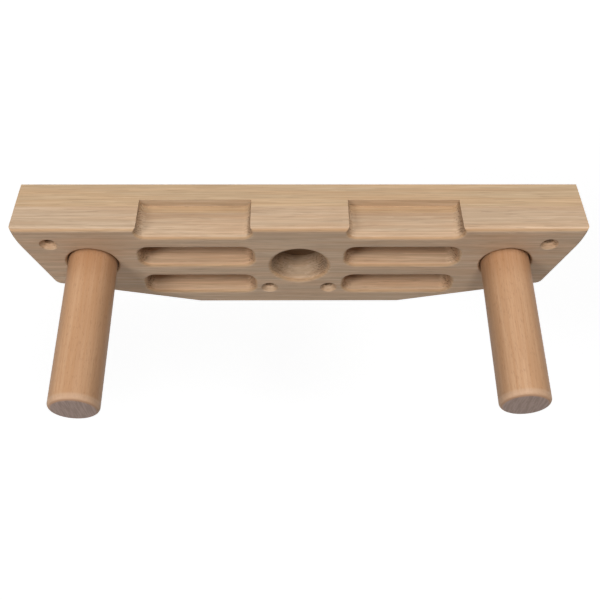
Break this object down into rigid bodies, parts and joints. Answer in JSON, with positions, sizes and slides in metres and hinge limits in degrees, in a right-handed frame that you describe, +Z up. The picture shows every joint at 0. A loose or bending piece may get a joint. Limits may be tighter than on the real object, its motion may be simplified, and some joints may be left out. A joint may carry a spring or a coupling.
{
  "type": "hangboard",
  "caption": "Wall-mounted wooden climbing training board with jugs, finger slots, a round pocket and pull-out pegs.",
  "frame": {"origin": "middle of the back face, at half the board's height, on the wall", "axes": "+X to the climber's right along the board, +Y into the wall, +Z up; the climber hangs on the -Y side"},
  "size_m": [0.48, 0.1913, 0.1186],
  "materials": {
    "oak_rear": "sanded and lightly oiled",
    "oak": "sanded and lightly oiled",
    "beech": "turned and sanded"
  },
  "bodies": {
    "board": {"rear_board": "oak_rear", "front_board": "oak"},
    "left_peg": {"left_peg": "beech"},
    "right_peg": {"right_peg": "beech"}
  },
  "joints": [
    {"name": "left_peg_slide", "type": "slide", "parent": "board", "child": "left_peg", "axis": [0, -1, 0], "range_m": [-0.003, 0.043]},
    {"name": "right_peg_slide", "type": "slide", "parent": "board", "child": "right_peg", "axis": [0, -1, 0], "range_m": [0, 0.046]}
  ]
}
